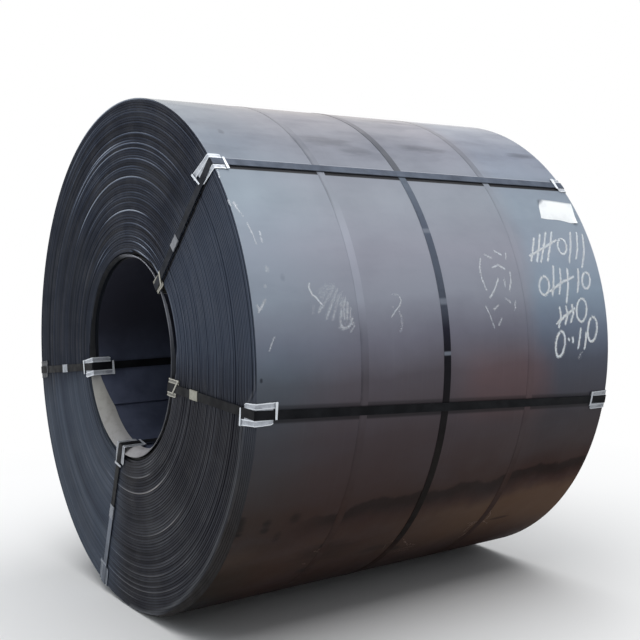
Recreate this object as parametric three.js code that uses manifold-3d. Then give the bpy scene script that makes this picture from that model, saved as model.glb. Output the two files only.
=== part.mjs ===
// A strapped coil of hot-rolled steel strip, lying on its barrel with its eye horizontal.
// Millimetres, +Z up. The coil's axis runs along Y, its near end faces -Y, and the origin is on the
// floor under the middle of the coil. Angles round the coil are in degrees, clockwise from the top as
// seen from the near end, so 90 is the +X side.
import * as THREE from "three";
import { mergeVertices } from "three/addons/utils/BufferGeometryUtils.js";
import Module from "manifold-3d";

const wasm = await Module();
wasm.setup();

// ---- driving dimensions ----
const coilOuterDiameter = 2020;
const eyeDiameter = 762;
const stripWidth = 1690; // the coil's length along its axis
const segments = 72; // facets round the coil, one of them flat on the floor
const gap = 0.3; // between pieces that touch

const lapBands = 9; // groups of wraps that stand a little in or out on each end face
const lapStep = 1.5; // how far one group of wraps is set back from its neighbour

const mouthWidth = 50; // the innermost wraps step back toward the eye over this much of each end
const mouthDepth = 34; // how far the very first of them lies back

const strapWidth = 32;
const strapThickness = 1;

const protectorLeg = 95; // length of each leg, measured from the bend's outside
const protectorWidth = 76;
const protectorThickness = 1.5;
const protectorBendRadius = 1.5; // inside radius of its bend
const hookWidth = 9; // the narrow tabs folded over the strap
const hookOverreach = 4; // how far a tab passes the strap's far edge

const ringDepth = 85; // how far the ring lining the eye's mouth reaches in
const ringThickness = 1;
const flareWidth = 27; // how far its lip is spread out beyond the eye
const flareDepth = 30; // and from how deep

const sealLength = 58;
const sealThickness = 1.2;
const sealCrimpWidth = 7;
const sealCrimpDepth = 3;

// Where each strap round the barrel lies, as a distance from the near end.
const nearBodyStrapPlace = 433;
const middleBodyStrapPlace = 806;
const farBodyStrapPlace = 1236;

// Where each eye strap crosses the rim and the edge of the eye, and where its seal sits between the
// two. A strap's turned protectors have their tabs folded from the opposite sides.
const eyeStraps = [
  {
    name: "1", outerNear: 44.7, outerFar: 47.3, inner: 44.2, sealAt: 0.375,
    turned: ["rim_near", "rim_far", "eye_near"],
  },
  {
    name: "2", outerNear: 96.8, outerFar: 102.5, inner: 103.9, sealAt: 0.33,
    turned: ["rim_far", "eye_far"],
  },
  {
    name: "3", outerNear: 195.4, outerFar: 195.4, inner: 191, sealAt: 0.48,
    turned: ["eye_near", "eye_far"],
  },
  {
    name: "4", outerNear: 261.3, outerFar: 261.3, inner: 257.5, sealAt: 0.5,
    turned: ["eye_near", "eye_far"],
  },
];

// ---- derived sizes ----
const coilRadius = coilOuterDiameter / 2;
const eyeRadius = eyeDiameter / 2;
const halfWidth = stripWidth / 2;
const facet = (2 * Math.PI) / segments;
const flatness = Math.cos(facet / 2); // a facet's distance from the axis over its corners' distance
// The coil's sharp edge lies inside a protector's rounded bend, which keeps the plate a little off.
const plateLift = gap + protectorBendRadius * (1 - Math.SQRT1_2);
const strapLift = plateLift + protectorThickness + gap; // from a coil surface to a strap's underside
const bodyStrapRadius = coilRadius + gap;
const ringOuterRadius = (eyeRadius * flatness - gap);
const ringInnerRadius = ringOuterRadius - ringThickness;
// A protector's eye leg is flat, so its side edges rest on the ring and its middle stands off.
const innerPlateDistance = Math.sqrt((ringInnerRadius * flatness - gap) ** 2 - (protectorWidth / 2) ** 2);
const outerPlateDistance = coilRadius + plateLift;
const strapBendRadius = protectorBendRadius + protectorThickness + gap; // an eye strap's inside bend
const restHeight = (bodyStrapRadius + strapThickness) * flatness;

// ---- materials ----
function metal(color, roughness, metalness = 0.8) {
  return new THREE.MeshStandardMaterial({ color, roughness, metalness });
}
const millScale = metal(0x4a4e55, 0.55, 0.6);
const bluedSteel = metal(0x1c1d20, 0.5);
const darkSteel = metal(0x43474d, 0.5);
const galvanised = metal(0xb9bcbe, 0.4);
const ringSteel = metal(0x9c9a95, 0.6, 0.4);

// ---- geometry helpers ----
const radians = THREE.MathUtils.degToRad;

// The unit vector that points out from the axis at an angle round the coil.
function radial(degrees) {
  return new THREE.Vector3(Math.sin(radians(degrees)), 0, Math.cos(radians(degrees)));
}

function outline(points) {
  return new THREE.Shape(points.map(([x, y]) => new THREE.Vector2(x, y)));
}

// An outline extruded along its own normal, centred on the outline's plane.
function prism(shape, length) {
  const geometry = new THREE.ExtrudeGeometry(shape, { depth: length, bevelEnabled: false, curveSegments: 4 });
  return geometry.translate(0, 0, -length / 2);
}

// A ring turned about the coil's axis from a closed profile of [radius, distance along the axis].
function turned(profile) {
  const points = [...profile, profile[0]].map(([r, y]) => new THREE.Vector2(r, y));
  return new THREE.LatheGeometry(points, segments, facet / 2);
}

function toSolid(geometry) {
  const bare = geometry.clone();
  bare.deleteAttribute("normal");
  bare.deleteAttribute("uv");
  const merged = mergeVertices(bare, 1e-4);
  return new wasm.Manifold(new wasm.Mesh({
    numProp: 3,
    vertProperties: merged.attributes.position.array,
    triVerts: new Uint32Array(merged.index.array),
  }));
}

function fromSolid(solid) {
  const mesh = solid.getMesh();
  const geometry = new THREE.BufferGeometry();
  geometry.setAttribute("position", new THREE.BufferAttribute(mesh.vertProperties, 3));
  geometry.setIndex(new THREE.BufferAttribute(mesh.triVerts, 1));
  return geometry;
}

// A flat band along a closed path. At each station its underside passes through the point, its width
// lies across the path and its thickness is laid on outward.
function bandLoop(stations) {
  const corners = [[-1, 0], [1, 0], [1, 1], [-1, 1]];
  const positions = [];
  const index = [];
  stations.forEach(({ point, across, outward }, i) => {
    for (const [side, lift] of corners) {
      const corner = point.clone()
        .addScaledVector(across, (side * strapWidth) / 2)
        .addScaledVector(outward, lift * strapThickness);
      positions.push(...corner.toArray());
    }
    const next = (i + 1) % stations.length;
    for (let k = 0; k < 4; k++) {
      const m = (k + 1) % 4;
      const [a, b, c, d] = [4 * i + k, 4 * i + m, 4 * next + m, 4 * next + k];
      index.push(a, b, c, a, c, d);
    }
  });
  const geometry = new THREE.BufferGeometry();
  geometry.setAttribute("position", new THREE.Float32BufferAttribute(positions, 3));
  geometry.setIndex(index);
  return geometry;
}

// ---- the coil ----
// One solid of wound strip. On each end face the groups of wraps are set back by different steps.
function coilProfile() {
  const bandWidth = (coilRadius - eyeRadius) / lapBands;
  const setBack = (band, end) => lapStep * ((band * 2 + end) % 3 === 0 ? 1 : 0);
  const farEnd = [];
  const nearEnd = [];
  for (let band = 0; band < lapBands; band++) {
    const inner = eyeRadius + band * bandWidth;
    const outer = inner + bandWidth;
    const near = -halfWidth + setBack(band, 0);
    const far = halfWidth - setBack(band, 1);
    const flatFrom = band === 0 ? inner + mouthWidth : inner;
    nearEnd.push([flatFrom, near], [outer, near]);
    farEnd.unshift([outer, far], [flatFrom, far]);
  }
  nearEnd.unshift([eyeRadius, -halfWidth + mouthDepth]);
  farEnd.push([eyeRadius, halfWidth - mouthDepth]);
  return withoutDoubles([...nearEnd, ...farEnd]);
}

// A profile with each corner once and no points along its straight lines.
function withoutDoubles(points) {
  return points.filter(([r, y], i) => {
    const [pr, py] = points[(i + points.length - 1) % points.length];
    const [nr, ny] = points[(i + 1) % points.length];
    const same = r === nr && y === ny;
    const straight = (y === py && y === ny) || (r === pr && r === nr);
    return !same && !straight;
  });
}

// ---- straps ----
const axial = new THREE.Vector3(0, 1, 0);

// A strap's section at an angle round the coil, a distance from the axis and a place along it. Its
// width lies along the coil's circumference, so it bends square over the coil's edges.
function stationAt(degrees, distance, y, outward) {
  const point = radial(degrees).multiplyScalar(distance).setY(y);
  return { point, outward, across: radial(degrees).cross(axial) };
}

// The bend of an eye strap over an edge, between the last section of one run and the first of the next.
function bendStations(before, after, steps = 3) {
  const centre = before.point.clone().addScaledVector(before.outward, -strapBendRadius);
  const stations = [];
  for (let i = 1; i < steps; i++) {
    const turn = (i / steps) * (Math.PI / 2);
    const outward = before.outward.clone().multiplyScalar(Math.cos(turn))
      .addScaledVector(after.outward, Math.sin(turn));
    const point = centre.clone().addScaledVector(outward, strapBendRadius);
    stations.push({ point, outward, across: before.across });
  }
  return stations;
}

// The closed path of one eye strap: out across the near face, along the barrel, in across the far
// face and back through the eye.
function eyeStrapStations({ outerNear, outerFar, inner }) {
  const bend = strapBendRadius; // a run stops this far short of the corner
  const faceLift = halfWidth + strapLift;
  const barrelLift = coilRadius + strapLift;
  const eyeLift = innerPlateDistance - protectorThickness - gap;
  const near = axial.clone().negate();
  const inward = radial(inner).negate();
  const nearFace = [
    stationAt(inner, eyeLift + bend, -faceLift, near),
    stationAt(outerNear, barrelLift - bend, -faceLift, near),
  ];
  const farFace = [
    stationAt(outerFar, barrelLift - bend, faceLift, axial),
    stationAt(inner, eyeLift + bend, faceLift, axial),
  ];
  const eye = [
    stationAt(inner, eyeLift, faceLift - bend, inward),
    stationAt(inner, eyeLift, bend - faceLift, inward),
  ];
  const barrel = [];
  const barrelSteps = outerNear === outerFar ? 1 : 8;
  for (let i = 0; i <= barrelSteps; i++) {
    const share = i / barrelSteps;
    const degrees = outerNear + (outerFar - outerNear) * share;
    barrel.push(stationAt(degrees, barrelLift, (faceLift - bend) * (2 * share - 1), radial(degrees)));
  }
  const runs = [nearFace, barrel, farFace, eye];
  return runs.flatMap((run, i) => {
    const next = runs[(i + 1) % runs.length];
    return [...run, ...bendStations(run[run.length - 1], next[0])];
  });
}

function bodyStrapStations(fromEnd) {
  const stations = [];
  for (let i = 0; i < segments; i++) {
    const degrees = THREE.MathUtils.radToDeg(facet * (i + 0.5));
    const section = stationAt(degrees, bodyStrapRadius, fromEnd - halfWidth, radial(degrees));
    stations.push({ ...section, across: axial });
  }
  return stations;
}

// ---- corner protectors ----
// Local frame: the plate's two legs run from the bend's outside corner at the origin, one along -X and
// one along -Y, and the plate's width lies along Z. Outside the corner is +X and +Y.
function protectorPlate() {
  const t = protectorThickness;
  const r = protectorBendRadius;
  const shape = new THREE.Shape();
  shape.moveTo(-protectorLeg, 0);
  shape.lineTo(-protectorLeg, -t);
  shape.lineTo(-t - r, -t);
  shape.absarc(-t - r, -t - r, r, Math.PI / 2, 0, true);
  shape.lineTo(-t, -protectorLeg);
  shape.lineTo(0, -protectorLeg);
  shape.lineTo(0, -t - r);
  shape.absarc(-t - r, -t - r, r + t, 0, Math.PI / 2, false);
  shape.lineTo(-protectorLeg, 0);
  return prism(shape, protectorWidth);
}

// A tab folded up from one side of the plate and over the strap: in the (Z, height) plane it is an
// angle whose upright stands on the plate's side edge.
function hookGeometry() {
  const t = protectorThickness;
  const side = protectorWidth / 2;
  const underside = 2 * gap + strapThickness;
  const reach = -strapWidth / 2 - hookOverreach;
  const shape = outline([
    [side, -t / 2], [side, underside + t], [reach, underside + t], [reach, underside],
    [side - t, underside], [side - t, -t / 2],
  ]);
  return prism(shape, hookWidth);
}

// One protector. A turned one has its tabs folded from the opposite sides.
function protectorSolid(turnedOver) {
  const side = turnedOver ? -1 : 1;
  const along = protectorLeg - hookWidth / 2;
  // The hook's own frame is (across the strap, height off the plate, along the leg).
  const onTopLeg = new THREE.Matrix4().makeBasis(
    new THREE.Vector3(0, 0, side), new THREE.Vector3(0, 1, 0), new THREE.Vector3(-side, 0, 0),
  ).setPosition(-along, 0, 0);
  const onSideLeg = new THREE.Matrix4().makeBasis(
    new THREE.Vector3(0, 0, -side), new THREE.Vector3(1, 0, 0), new THREE.Vector3(0, -side, 0),
  ).setPosition(0, -along, 0);
  const plate = toSolid(protectorPlate());
  const hooks = [onTopLeg, onSideLeg].map((place) => toSolid(hookGeometry().applyMatrix4(place)));
  return fromSolid(plate.add(hooks[0]).add(hooks[1]));
}

// The matrix that puts a protector's outside corner at a place on an edge of the coil: its -Y leg
// then lies along the end face and its -X leg along the barrel or the eye.
function protectorPlace(degrees, distance, end, outerEdge) {
  const out = radial(degrees).multiplyScalar(outerEdge ? 1 : -1);
  const endwards = axial.clone().multiplyScalar(end);
  const width = endwards.clone().cross(out);
  const plateFace = halfWidth + plateLift + protectorThickness;
  const corner = radial(degrees).multiplyScalar(distance).setY(end * plateFace);
  return new THREE.Matrix4().makeBasis(endwards, out, width).setPosition(corner);
}

// ---- seals ----
// A sleeve crimped round a strap, open underneath. Local frame: X across the strap, Y off the coil,
// Z along the strap, with the strap's underside at Y = 0.
function sealGeometry(lipDrop) {
  const half = strapWidth / 2 + gap;
  const top = strapThickness + gap;
  const t = sealThickness;
  const lip = 5;
  const points = lipDrop > t
    ? [[-half - t, top + t], [-half - t, -gap - t], [-half + lip, -gap - t], [-half + lip, -gap],
      [-half, -gap], [-half, top], [half, top], [half, -gap], [half - lip, -gap],
      [half - lip, -gap - t], [half + t, -gap - t], [half + t, top + t]]
    : [[-half - t, top + t], [-half - t, 0], [-half, 0], [-half, top], [half, top], [half, 0], [half + t, 0],
      [half + t, top + t]];
  let solid = toSolid(prism(outline(points), sealLength));
  for (const share of [-0.25, 0.25]) {
    for (const side of [-1, 1]) {
      const crimp = outline([
        [-sealCrimpWidth / 2, 0], [sealCrimpWidth / 2, 0], [0, -sealCrimpDepth],
      ]);
      const notch = prism(crimp, 4 * t)
        .applyMatrix4(new THREE.Matrix4().makeBasis(
          new THREE.Vector3(0, 0, 1), new THREE.Vector3(side, 0, 0), new THREE.Vector3(0, side, 0),
        ).setPosition(side * (half + t + 0.01), top + t, share * sealLength));
      solid = solid.subtract(toSolid(notch));
    }
  }
  return fromSolid(solid);
}

// ---- assembly ----
const coilAssembly = new THREE.Group();
coilAssembly.position.z = restHeight;

function addPiece(name, geometry, material, matrix) {
  const mesh = new THREE.Mesh(geometry, material.clone());
  mesh.name = name;
  if (matrix) mesh.applyMatrix4(matrix);
  coilAssembly.add(mesh);
}

function addCoil() {
  addPiece("coil", turned(coilProfile()), millScale);
}

function addEyeRings() {
  for (const [name, end] of [["near", -1], ["far", 1]]) {
    const lip = halfWidth - lapStep;
    const profile = [
      [ringInnerRadius, lip - ringDepth], [ringOuterRadius, lip - ringDepth],
      [ringOuterRadius, lip - flareDepth], [ringOuterRadius + flareWidth, lip],
      [ringInnerRadius + flareWidth, lip], [ringInnerRadius, lip - flareDepth],
    ].map(([r, y]) => [r, end * y]);
    addPiece("eye_ring_" + name, turned(end > 0 ? profile : profile.reverse()), ringSteel);
  }
}

function addEyeStrap(strap) {
  const stations = eyeStrapStations(strap);
  addPiece("eye_strap_" + strap.name, bandLoop(stations), bluedSteel);
  const [inner, outer] = stations;
  const along = outer.point.clone().sub(inner.point).normalize();
  const middle = inner.point.clone().lerp(outer.point, strap.sealAt);
  const place = new THREE.Matrix4()
    .makeBasis(inner.outward.clone().cross(along), inner.outward, along)
    .setPosition(middle);
  addPiece("eye_strap_seal_" + strap.name, sealGeometry(strapLift), galvanised, place);
}

function addProtectors(strap, plainPiece, turnedPiece) {
  const outerDistance = outerPlateDistance + protectorThickness;
  const innerDistance = innerPlateDistance - protectorThickness;
  const places = [
    ["rim", "near", protectorPlace(strap.outerNear, outerDistance, -1, true)],
    ["rim", "far", protectorPlace(strap.outerFar, outerDistance, 1, true)],
    ["eye", "near", protectorPlace(strap.inner, innerDistance, -1, false)],
    ["eye", "far", protectorPlace(strap.inner, innerDistance, 1, false)],
  ];
  for (const [edge, end, place] of places) {
    const piece = strap.turned.includes(`${edge}_${end}`) ? turnedPiece : plainPiece;
    addPiece(`${edge}_protector_${strap.name}_${end}`, piece, galvanised, place);
  }
}

function addBodyStrap(name, fromEnd, material) {
  addPiece("body_strap_" + name, bandLoop(bodyStrapStations(fromEnd)), material);
}

addCoil();
addEyeRings();
eyeStraps.forEach(addEyeStrap);
const plainPiece = protectorSolid(false);
const turnedPiece = protectorSolid(true);
eyeStraps.forEach((strap) => addProtectors(strap, plainPiece, turnedPiece));
addBodyStrap("near", nearBodyStrapPlace, darkSteel);
addBodyStrap("middle", middleBodyStrapPlace, bluedSteel);
addBodyStrap("far", farBodyStrapPlace, darkSteel);

export default coilAssembly;
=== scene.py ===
"""A strapped coil of hot-rolled steel strip on a plain pale floor.

Metres, +Z up. The coil's axis runs along Y and its near end faces -Y. Angles round the coil are in
degrees, clockwise from the top as seen from the near end, so 90 is the +X side. Places along the
barrel are millimetres from the near end. Colours are 0-255 screen values where a table or a call
says nothing else.
"""
import itertools
import math

import bpy
import numpy as np
from mathutils import Matrix, Vector


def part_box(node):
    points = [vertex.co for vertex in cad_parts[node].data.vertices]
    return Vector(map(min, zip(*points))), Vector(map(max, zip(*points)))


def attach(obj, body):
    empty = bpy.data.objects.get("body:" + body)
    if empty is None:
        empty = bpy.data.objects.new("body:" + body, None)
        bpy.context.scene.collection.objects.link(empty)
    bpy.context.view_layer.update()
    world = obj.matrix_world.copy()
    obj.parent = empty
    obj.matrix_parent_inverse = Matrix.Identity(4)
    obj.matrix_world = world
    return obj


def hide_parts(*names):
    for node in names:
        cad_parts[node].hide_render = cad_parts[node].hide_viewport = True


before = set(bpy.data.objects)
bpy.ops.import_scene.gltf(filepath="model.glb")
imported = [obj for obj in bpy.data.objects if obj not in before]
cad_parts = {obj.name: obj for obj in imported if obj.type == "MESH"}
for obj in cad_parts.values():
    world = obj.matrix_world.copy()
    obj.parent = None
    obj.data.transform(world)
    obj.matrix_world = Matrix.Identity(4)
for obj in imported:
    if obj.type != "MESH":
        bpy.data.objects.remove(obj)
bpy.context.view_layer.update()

MM = 0.001
HALF_TURN = 180
FULL_TURN = 360
SCREEN_WHITE = 255

# ---- sizes taken from the frame ----
coil_low, coil_high = (Vector(corner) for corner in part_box("coil"))
strap_low, strap_high = (Vector(corner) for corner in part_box("body_strap_middle"))
HALF_WIDTH = coil_high.y
CENTRE_Z = (coil_high.z + coil_low.z) / 2
RADIUS = (coil_high.z - coil_low.z) / 2
EYE_RADIUS = 381 * MM
BODY_STRAP_RADIUS = (strap_high.z - strap_low.z) / 2
BODY_STRAP_THICKNESS = 1 * MM
FLAT_STRAP_LIFT = 0.1 * MM        # the near and far body straps lie almost flush
FLAT_STRAP_THICKNESS = 0.5 * MM

# ---- the eye straps: the angle where each crosses the near rim, the far rim and the eye's edge ----
EYE_STRAPS = {
    "1": (44.7, 47.3, 44.2), "2": (96.8, 102.5, 103.9),
    "3": (195.4, 195.4, 191), "4": (261.3, 261.3, 257.5),
}

# ---- the eye's mouth and the near end's shoulder, as (angle, millimetres) ----
MOUTH_DEPTH = 34          # how far back the innermost wrap's edge lies
RING_LIP = (
    (0, 394), (20, 397), (38, 399), (65, 390), (95, 388), (130, 400), (165, 406), (236, 407), (251, 406),
    (270, 398), (290, 390), (320, 397), (350, 398),
)
RING_DEPTH = (
    (0, 14), (80, 16), (130, 52), (150, 66), (229, 64), (240, 47), (251, 31), (262, 20), (290, 12),
)
RECESS_EDGE = (
    (0, 400), (8, 414), (24, 420), (40, 429), (62, 439), (80, 438), (105, 413), (150, 418), (172, 422),
    (198, 434), (215, 441), (229, 455), (240, 451), (252, 439), (264, 411), (290, 394), (320, 399),
    (350, 399),
)
NO_SHOULDER = 1012        # a radius outside the coil
SHOULDER = (
    (92, NO_SHOULDER), (97, 940), (102, 934), (108, 945), (118, 947), (129, 951), (138, 962), (144, 969),
    (160, 995), (172, NO_SHOULDER),
)

# ---- the winding, by stations along the strip ----
STEPS = 180               # stations in one turn
STEP_ANGLE = FULL_TURN / STEPS
ONE_TURN = np.arange(STEPS) * STEP_ANGLE
TAIL_ANGLE = 166          # where the strip's outer end lies
HEAD_ANGLE = 231          # where its inner end lies, in the eye
WHOLE_TURNS = 61
TAIL_STEP = 4 * MM        # the thinned tail's thickness
HEAD_STEP = 8 * MM
LIP = 1.6 * MM            # how far a wrap's edge is rounded back from the groove
GROOVE = 2 * MM           # depth of the groove between two wraps
LAST = WHOLE_TURNS * STEPS + (TAIL_ANGLE - HEAD_ANGLE) % FULL_TURN * STEPS // FULL_TURN
COUNT = LAST + 1          # from the head, station 0, to the tail, station LAST
STATIONS = np.arange(COUNT)
ANGLES = HEAD_ANGLE + STATIONS * STEP_ANGLE
WRAPPED = ANGLES % FULL_TURN


def by_angle(table, angles):
    """A listed value in millimetres at any angle, in metres."""
    at, value = zip(*table)
    return np.interp(np.mod(angles, FULL_TURN), at, value, period=FULL_TURN) * MM


def around_many(angles, radii, ys):
    turn = np.radians(angles)
    return np.stack([radii * np.sin(turn), ys + 0 * turn, CENTRE_Z + radii * np.cos(turn)], axis=-1)


def on_barrel(place, angle, lift):
    """A point some millimetres off the barrel, at a place along it and an angle."""
    turn, radius = math.radians(angle), RADIUS + lift * MM
    return Vector((radius * math.sin(turn), place * MM - HALF_WIDTH, CENTRE_Z + radius * math.cos(turn)))


def smooth_step(x):
    x = np.clip(x, 0, 1)
    return x * x * (3 - 2 * x)


def strip_noise(rng, spacing):
    """Smooth random values between -1 and 1 along the strip, with a knot every few stations."""
    knots = rng.uniform(-1, 1, int(COUNT / spacing) + 3)
    place = STATIONS / spacing
    low = place.astype(int)
    share = smooth_step(place - low)
    return knots[low] * (1 - share) + knots[low + 1] * share


def each_turn(values):
    """A value for each turn, repeated at all of its stations."""
    return np.repeat(values, STEPS, axis=0)[:COUNT]


# ---- mesh helpers ----
def add_mesh(name, points, faces, materials, smooth_angle=30, face_materials=None, layers=None):
    """A new object. Layers are values at its points, for its materials to read."""
    mesh = bpy.data.meshes.new(name)
    mesh.from_pydata([tuple(p) for p in points], [], [tuple(f) for f in faces])
    mesh.update()
    for material in materials:
        mesh.materials.append(material)
    if face_materials is not None:
        mesh.polygons.foreach_set("material_index", np.asarray(face_materials, dtype=np.int32))
    mesh.polygons.foreach_set("use_smooth", np.ones(len(mesh.polygons), dtype=bool))
    mesh.set_sharp_from_angle(angle=math.radians(smooth_angle))
    for layer_name, values in (layers or {}).items():
        layer = mesh.attributes.new(layer_name, "FLOAT", "POINT")
        layer.data.foreach_set("value", values.astype(np.float32))
    made = bpy.data.objects.new(name, mesh)
    bpy.context.scene.collection.objects.link(made)
    return made


def shell(grid, thickness, closed_rows=False):
    """A closed sheet laid on a grid of rows x columns that faces outward, as (points, faces). The
    thickness is added outward."""
    grid = np.asarray(grid, dtype=float)
    rows, columns = grid.shape[:2]
    if closed_rows:
        down = np.roll(grid, -1, 0) - np.roll(grid, 1, 0)
    else:
        down = np.gradient(grid, axis=0)
    right = np.gradient(grid, axis=1)
    normal = np.cross(down, right)
    normal /= np.linalg.norm(normal, axis=-1, keepdims=True)
    top = grid + normal * thickness
    count, edge = rows * columns, columns - 1

    def wall(i, j):
        return i, j, j + count, i + count

    faces = []
    for row in range(rows if closed_rows else rows - 1):
        here, below = row * columns, (row + 1) % rows * columns
        for c in range(edge):
            quad = (here + c, below + c, below + c + 1, here + c + 1)
            faces += [tuple(i + count for i in quad), (quad[0], *quad[:0:-1])]
        faces += [wall(here, below), wall(below + edge, here + edge)]
    if not closed_rows:
        for c in range(edge):
            faces += [wall(c + 1, c), wall(count - columns + c, count - columns + c + 1)]
    return np.concatenate([grid.reshape(-1, 3), top.reshape(-1, 3)]), faces


def joined(parts):
    """Several (points, faces) as one."""
    points, faces, start = [], [], 0
    for some_points, some_faces in parts:
        points.append(np.asarray(some_points))
        faces.extend(tuple(i + start for i in face) for face in some_faces)
        start += len(some_points)
    return np.concatenate(points), faces


# ---- shader helpers ----
def grey(value):
    return (value, value, value, 1)


def linear(red, green, blue):
    """A linear colour from screen values."""
    def one(value):
        value /= SCREEN_WHITE
        return value / 12.92 if value <= 0.04045 else ((value + 0.055) / 1.055) ** 2.4
    return (one(red), one(green), one(blue))


def solid(colour):
    return (*linear(*colour), 1)


def toned(stops):
    """The stops of a colour ramp, from (place, screen colour)."""
    return [(at, linear(*colour)) for at, colour in stops]


def add_node(tree, kind, inputs=None, **settings):
    """A shader node with its inputs set to values or linked to other nodes."""
    made = tree.nodes.new("ShaderNode" + kind)
    for key, value in settings.items():
        setattr(made, key, value)
    for key, value in (inputs or {}).items():
        feed(tree, made.inputs[key], value)
    return made


def feed(tree, socket, value):
    if isinstance(value, Field):
        value = value.socket
    if isinstance(value, bpy.types.NodeSocket):
        tree.links.new(value, socket)
    else:
        socket.default_value = value


class Field:
    """A value that varies over a surface. Arithmetic on it adds Math nodes."""

    def __init__(self, shader, socket):
        self.shader, self.socket = shader, socket

    def __add__(self, other):
        return self.shader.math("ADD", self, other)

    def __sub__(self, other):
        return self.shader.math("SUBTRACT", self, other)

    def __rsub__(self, other):
        return self.shader.math("SUBTRACT", other, self)

    def __mul__(self, other):
        return self.shader.math("MULTIPLY", self, other)

    def __truediv__(self, other):
        return self.shader.math("DIVIDE", self, other)

    def __abs__(self):
        return self.shader.math("ABSOLUTE", self)


class Shader:
    """A Principled material built node by node."""

    def __init__(self, name, roughness=0.5, metallic=0.0, specular=0.5):
        self.material = bpy.data.materials.new(name)
        self.material.use_nodes = True
        self.tree = self.material.node_tree
        self.surface = self.tree.nodes["Principled BSDF"]
        self.set("Roughness", roughness)
        self.set("Metallic", metallic)
        self.set("Specular IOR Level", specular)
        self.place = self.field("TexCoord", output="Object")

    def field(self, kind, inputs=None, output=0, **settings):
        return Field(self, add_node(self.tree, kind, inputs, **settings).outputs[output])

    def set(self, name, value):
        feed(self.tree, self.surface.inputs[name], value)

    def math(self, operation, a, b=0.0):
        return self.field("Math", {0: a, 1: b}, operation=operation)

    def mix(self, share, a, b, blend="MIX"):
        return self.field("Mix", {0: share, 6: a, 7: b}, 2, data_type="RGBA", blend_type=blend)

    def paint(self, share, base, colour):
        """A share of the base covered by a screen colour."""
        return self.mix(share, base, solid(colour))

    def tint(self, share, base, factors):
        """A share of the base multiplied by a colour."""
        factors = factors if isinstance(factors, Field) else (*factors, 1)
        return self.mix(share, base, self.mix(1.0, base, factors, "MULTIPLY"))

    def two_tone(self, value, low, high, first, second, most=1.0):
        """From one screen colour up to a share of another as a value rises."""
        return self.mix(self.span(value, low, high, 0.0, most), solid(first), solid(second))

    def noise(self, scale, detail=3.0, roughness=0.55, vector=None, distortion=0.0):
        return self.field("TexNoise", {"Scale": scale, "Detail": detail, "Roughness": roughness,
                                       "Distortion": distortion, "Vector": vector or self.place}, "Fac")

    def stretched(self, vector, scale, detail=3.0, roughness=0.55):
        """Noise with its own scale along each axis of a vector."""
        mapped = self.field("Mapping", {"Vector": vector, "Scale": scale})
        return self.noise(1.0, detail, roughness, vector=mapped)

    def ramp(self, value, stops, whole=1.0):
        """A colour ramp of (place, linear colour or grey), with places up to a whole."""
        made = add_node(self.tree, "ValToRGB", {"Fac": value})
        band = made.color_ramp
        while len(band.elements) < len(stops):
            band.elements.new(0.5)
        for element, (position, colour) in zip(band.elements, stops):
            element.position = position / whole
            element.color = grey(colour) if isinstance(colour, (int, float)) else (*colour, 1)
        return Field(self, made.outputs["Color"])

    def span(self, value, low, high, out_low=0.0, out_high=1.0):
        """A smooth step from one output to another between two values."""
        return self.field("MapRange", {"Value": value, "From Min": low, "From Max": high,
                                       "To Min": out_low, "To Max": out_high}, "Result",
                          interpolation_type="SMOOTHSTEP")

    def fade(self, value, low, high):
        return self.span(value, low, high, 1.0, 0.0)

    def window(self, value, rise, fall):
        """1 between a rise and a fall, each given as where it starts and ends."""
        return self.span(value, *rise) * self.fade(value, *fall)

    def done(self, colour, bump, rough=None, duller=None):
        """The material, with a colour, a bump as (height, strength, distance), and perhaps a roughness
        that wanders, as (noise scale, detail, from, to), and what is added to it."""
        height, strength, distance = bump
        self.set("Base Color", colour)
        if rough:
            scale, detail, low, high = rough
            wander = self.span(self.noise(scale, detail), 0.3, 0.7, low, high)
            self.set("Roughness", duller + wander if duller else wander)
        self.set("Normal", self.field("Bump", {"Height": height, "Strength": strength,
                                               "Distance": distance}, "Normal"))
        return self.material

    def layer(self, name):
        """Values kept at the mesh's points."""
        return self.field("Attribute", output="Fac", attribute_name=name)

    def cylinder(self):
        """(angle round the coil in degrees, -180 to 180; distance from its axis; metres from the near
        end; a vector that unrolls the barrel flat)."""
        parts = add_node(self.tree, "SeparateXYZ", {0: self.place})
        x, y, z = (Field(self, parts.outputs[axis]) for axis in "XYZ")
        height = z - CENTRE_Z
        turn = self.math("ARCTAN2", x, height)
        distance = self.math("SQRT", x * x + height * height)
        depth = y + HALF_WIDTH
        unrolled = self.field("CombineXYZ", {"X": depth, "Y": turn, "Z": distance})
        return turn * math.degrees(1), distance, depth, unrolled


# ---- the barrel's looks ----
# The mill scale's colour at angles from the top, with painted shading: lighter on top and darker
# below. The brown low down is the scale's own.
SCALE_TONES_AND_SHADING = (
    (12, (150, 147, 148)), (20, (132, 132, 138)), (36, (108, 112, 123)), (54, (136, 142, 152)),
    (66, (146, 148, 160)), (76, (141, 145, 157)), (84, (112, 112, 125)), (92, (83, 78, 85)),
    (104, (62, 53, 56)), (120, (49, 32, 27)), (180, (43, 28, 23)),
)
# What the far end's linear colour is to the middle's, at angles from the top.
FAR_TINTS = (
    (44, (0.98, 1.04, 1.08)), (60, (0.98, 1.09, 1.12)), (84, (0.94, 1.15, 1.22)),
    (92, (0.8, 1.02, 1.16)), (104, (0.72, 0.82, 0.87)), (113, (0.78, 0.78, 0.8)),
    (120, (1.0, 0.87, 0.78)), (132, (1.1, 0.98, 0.88)), (180, (1.0, 0.92, 0.84)),
)
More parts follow.
